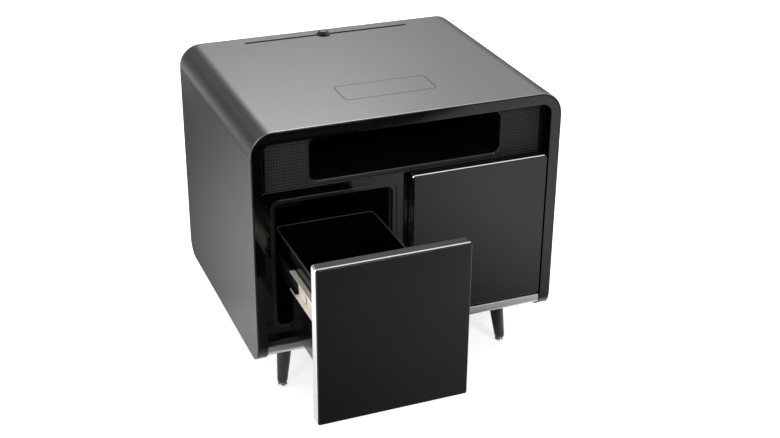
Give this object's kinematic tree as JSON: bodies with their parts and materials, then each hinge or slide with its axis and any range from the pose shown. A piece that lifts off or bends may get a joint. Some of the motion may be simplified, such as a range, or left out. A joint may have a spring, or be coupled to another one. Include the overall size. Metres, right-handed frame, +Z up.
{
  "type": "smart side table",
  "caption": "Rounded side table with a cooling drawer shown open, a storage drawer, a speaker bay with a laptop cubby, a top with a tablet slot and charging pad, on tapered legs.",
  "frame": {"origin": "on the floor, below the middle of the table's bounding box as it stands in the picture with the cooling drawer pulled out", "axes": "+Z up; +Y from the open drawer's front towards the back of the table, the way the drawers push shut; +X to the right as seen from the front"},
  "size_m": [0.62, 0.7866, 0.5883],
  "materials": {
    "satin_cover": "satin gunmetal grey paint on sheet metal",
    "satin_trim": "satin grey metal strip with a rounded lower edge",
    "gloss_bezel": "piano black, polished",
    "black_plastic": "matt black moulding",
    "grey_lip": "dark grey satin lip round the cooling cavity",
    "speaker_cloth": "tight woven speaker cloth",
    "fibreboard": "dark fibreboard, unseen in use",
    "insulation": "foam behind a dark moulded skin",
    "aluminium": "bare extruded aluminium",
    "edge_aluminium": "bright anodised frame behind the glass, seen at the sides and top of the front",
    "white_ceramic": "white alumina plates",
    "black_glass": "tempered glass painted black on its back, over the whole front",
    "seal_rubber": "soft black door seal",
    "zinc_steel": "zinc plated rolled steel with a warm tint",
    "grey_steel": "plain sheet steel",
    "copper_wire": "flat wound enamelled copper wire",
    "circuit_board": "green solder mask",
    "leg_black": "satin black lacquer",
    "glide_chrome": "bright metal glide with a dark base"
  },
  "bodies": {
    "case": {"top_cover": "satin_cover", "left_side_panel": "satin_cover", "right_side_panel": "satin_cover", "bottom_panel": "satin_cover", "bottom_trim": "satin_trim", "front_bezel": "gloss_bezel", "rear_cover": "black_plastic", "face_frame": "black_plastic", "cooling_cavity_frame": "grey_lip", "speaker_grille": "speaker_cloth", "speaker_baffle": "black_plastic", "speaker_box_left": "black_plastic", "speaker_box_right": "black_plastic", "speaker_driver_left": "black_plastic", "speaker_driver_right": "black_plastic", "cubby_liner": "black_plastic", "mid_deck": "fibreboard", "storage_shroud": "fibreboard", "cooling_insulation": "insulation", "cold_plate": "aluminium", "peltier_module": "white_ceramic", "heat_sink": "aluminium", "cooling_fan_frame": "black_plastic", "cooling_cabinet_rail_left": "zinc_steel", "cooling_cabinet_rail_right": "zinc_steel", "storage_cabinet_rail_left": "zinc_steel", "storage_cabinet_rail_right": "zinc_steel", "charging_pad": "satin_cover", "charging_coil": "copper_wire", "tablet_tray": "black_plastic", "power_supply": "grey_steel", "control_board": "circuit_board", "power_inlet": "black_plastic", "leg_front_left": "leg_black", "leg_front_right": "leg_black", "leg_rear_left": "leg_black", "leg_rear_right": "leg_black", "glide_front_left": "glide_chrome", "glide_front_right": "glide_chrome", "glide_rear_left": "glide_chrome", "glide_rear_right": "glide_chrome"},
    "cooling_drawer": {"cooling_front_frame": "edge_aluminium", "cooling_front_glass": "black_glass", "cooling_front_core": "insulation", "cooling_gasket": "seal_rubber", "cooling_bin": "black_plastic", "cooling_drawer_rail_left": "zinc_steel", "cooling_drawer_rail_right": "zinc_steel"},
    "cooling_middle_rails": {"cooling_middle_rail_left": "zinc_steel", "cooling_middle_rail_right": "zinc_steel"},
    "storage_drawer": {"storage_front_frame": "edge_aluminium", "storage_front_glass": "black_glass", "storage_front_core": "fibreboard", "storage_bin": "black_plastic", "storage_drawer_rail_left": "zinc_steel", "storage_drawer_rail_right": "zinc_steel"},
    "storage_middle_rails": {"storage_middle_rail_left": "zinc_steel", "storage_middle_rail_right": "zinc_steel"},
    "cooling_fan": {"cooling_fan_rotor": "black_plastic"},
    "knob": {"control_knob": "gloss_bezel"}
  },
  "joints": [
    {"name": "cooling_drawer_slide", "type": "slide", "parent": "case", "child": "cooling_drawer", "axis": [0, -1, 0], "range_m": [-0.2816, 0]},
    {"name": "cooling_rail_slide", "type": "slide", "parent": "case", "child": "cooling_middle_rails", "axis": [0, -1, 0], "range_m": [-0.1408, 0]},
    {"name": "storage_drawer_slide", "type": "slide", "parent": "case", "child": "storage_drawer", "axis": [0, -1, 0], "range_m": [0, 0.2816]},
    {"name": "storage_rail_slide", "type": "slide", "parent": "case", "child": "storage_middle_rails", "axis": [0, -1, 0], "range_m": [0, 0.1408]},
    {"name": "fan_spin", "type": "hinge", "parent": "case", "child": "cooling_fan", "pos_m": [-0.14575, 0.3468, 0.2935], "axis": [0, 1, 0], "continuous": true},
    {"name": "knob_turn", "type": "hinge", "parent": "case", "child": "knob", "pos_m": [-0.006, 0.3613, 0.5803], "axis": [0, 0, 1], "continuous": true}
  ],
  "couplings": [
    {"joint": "cooling_rail_slide", "follows": "cooling_drawer_slide", "ratio": 0.5},
    {"joint": "storage_rail_slide", "follows": "storage_drawer_slide", "ratio": 0.5}
  ]
}
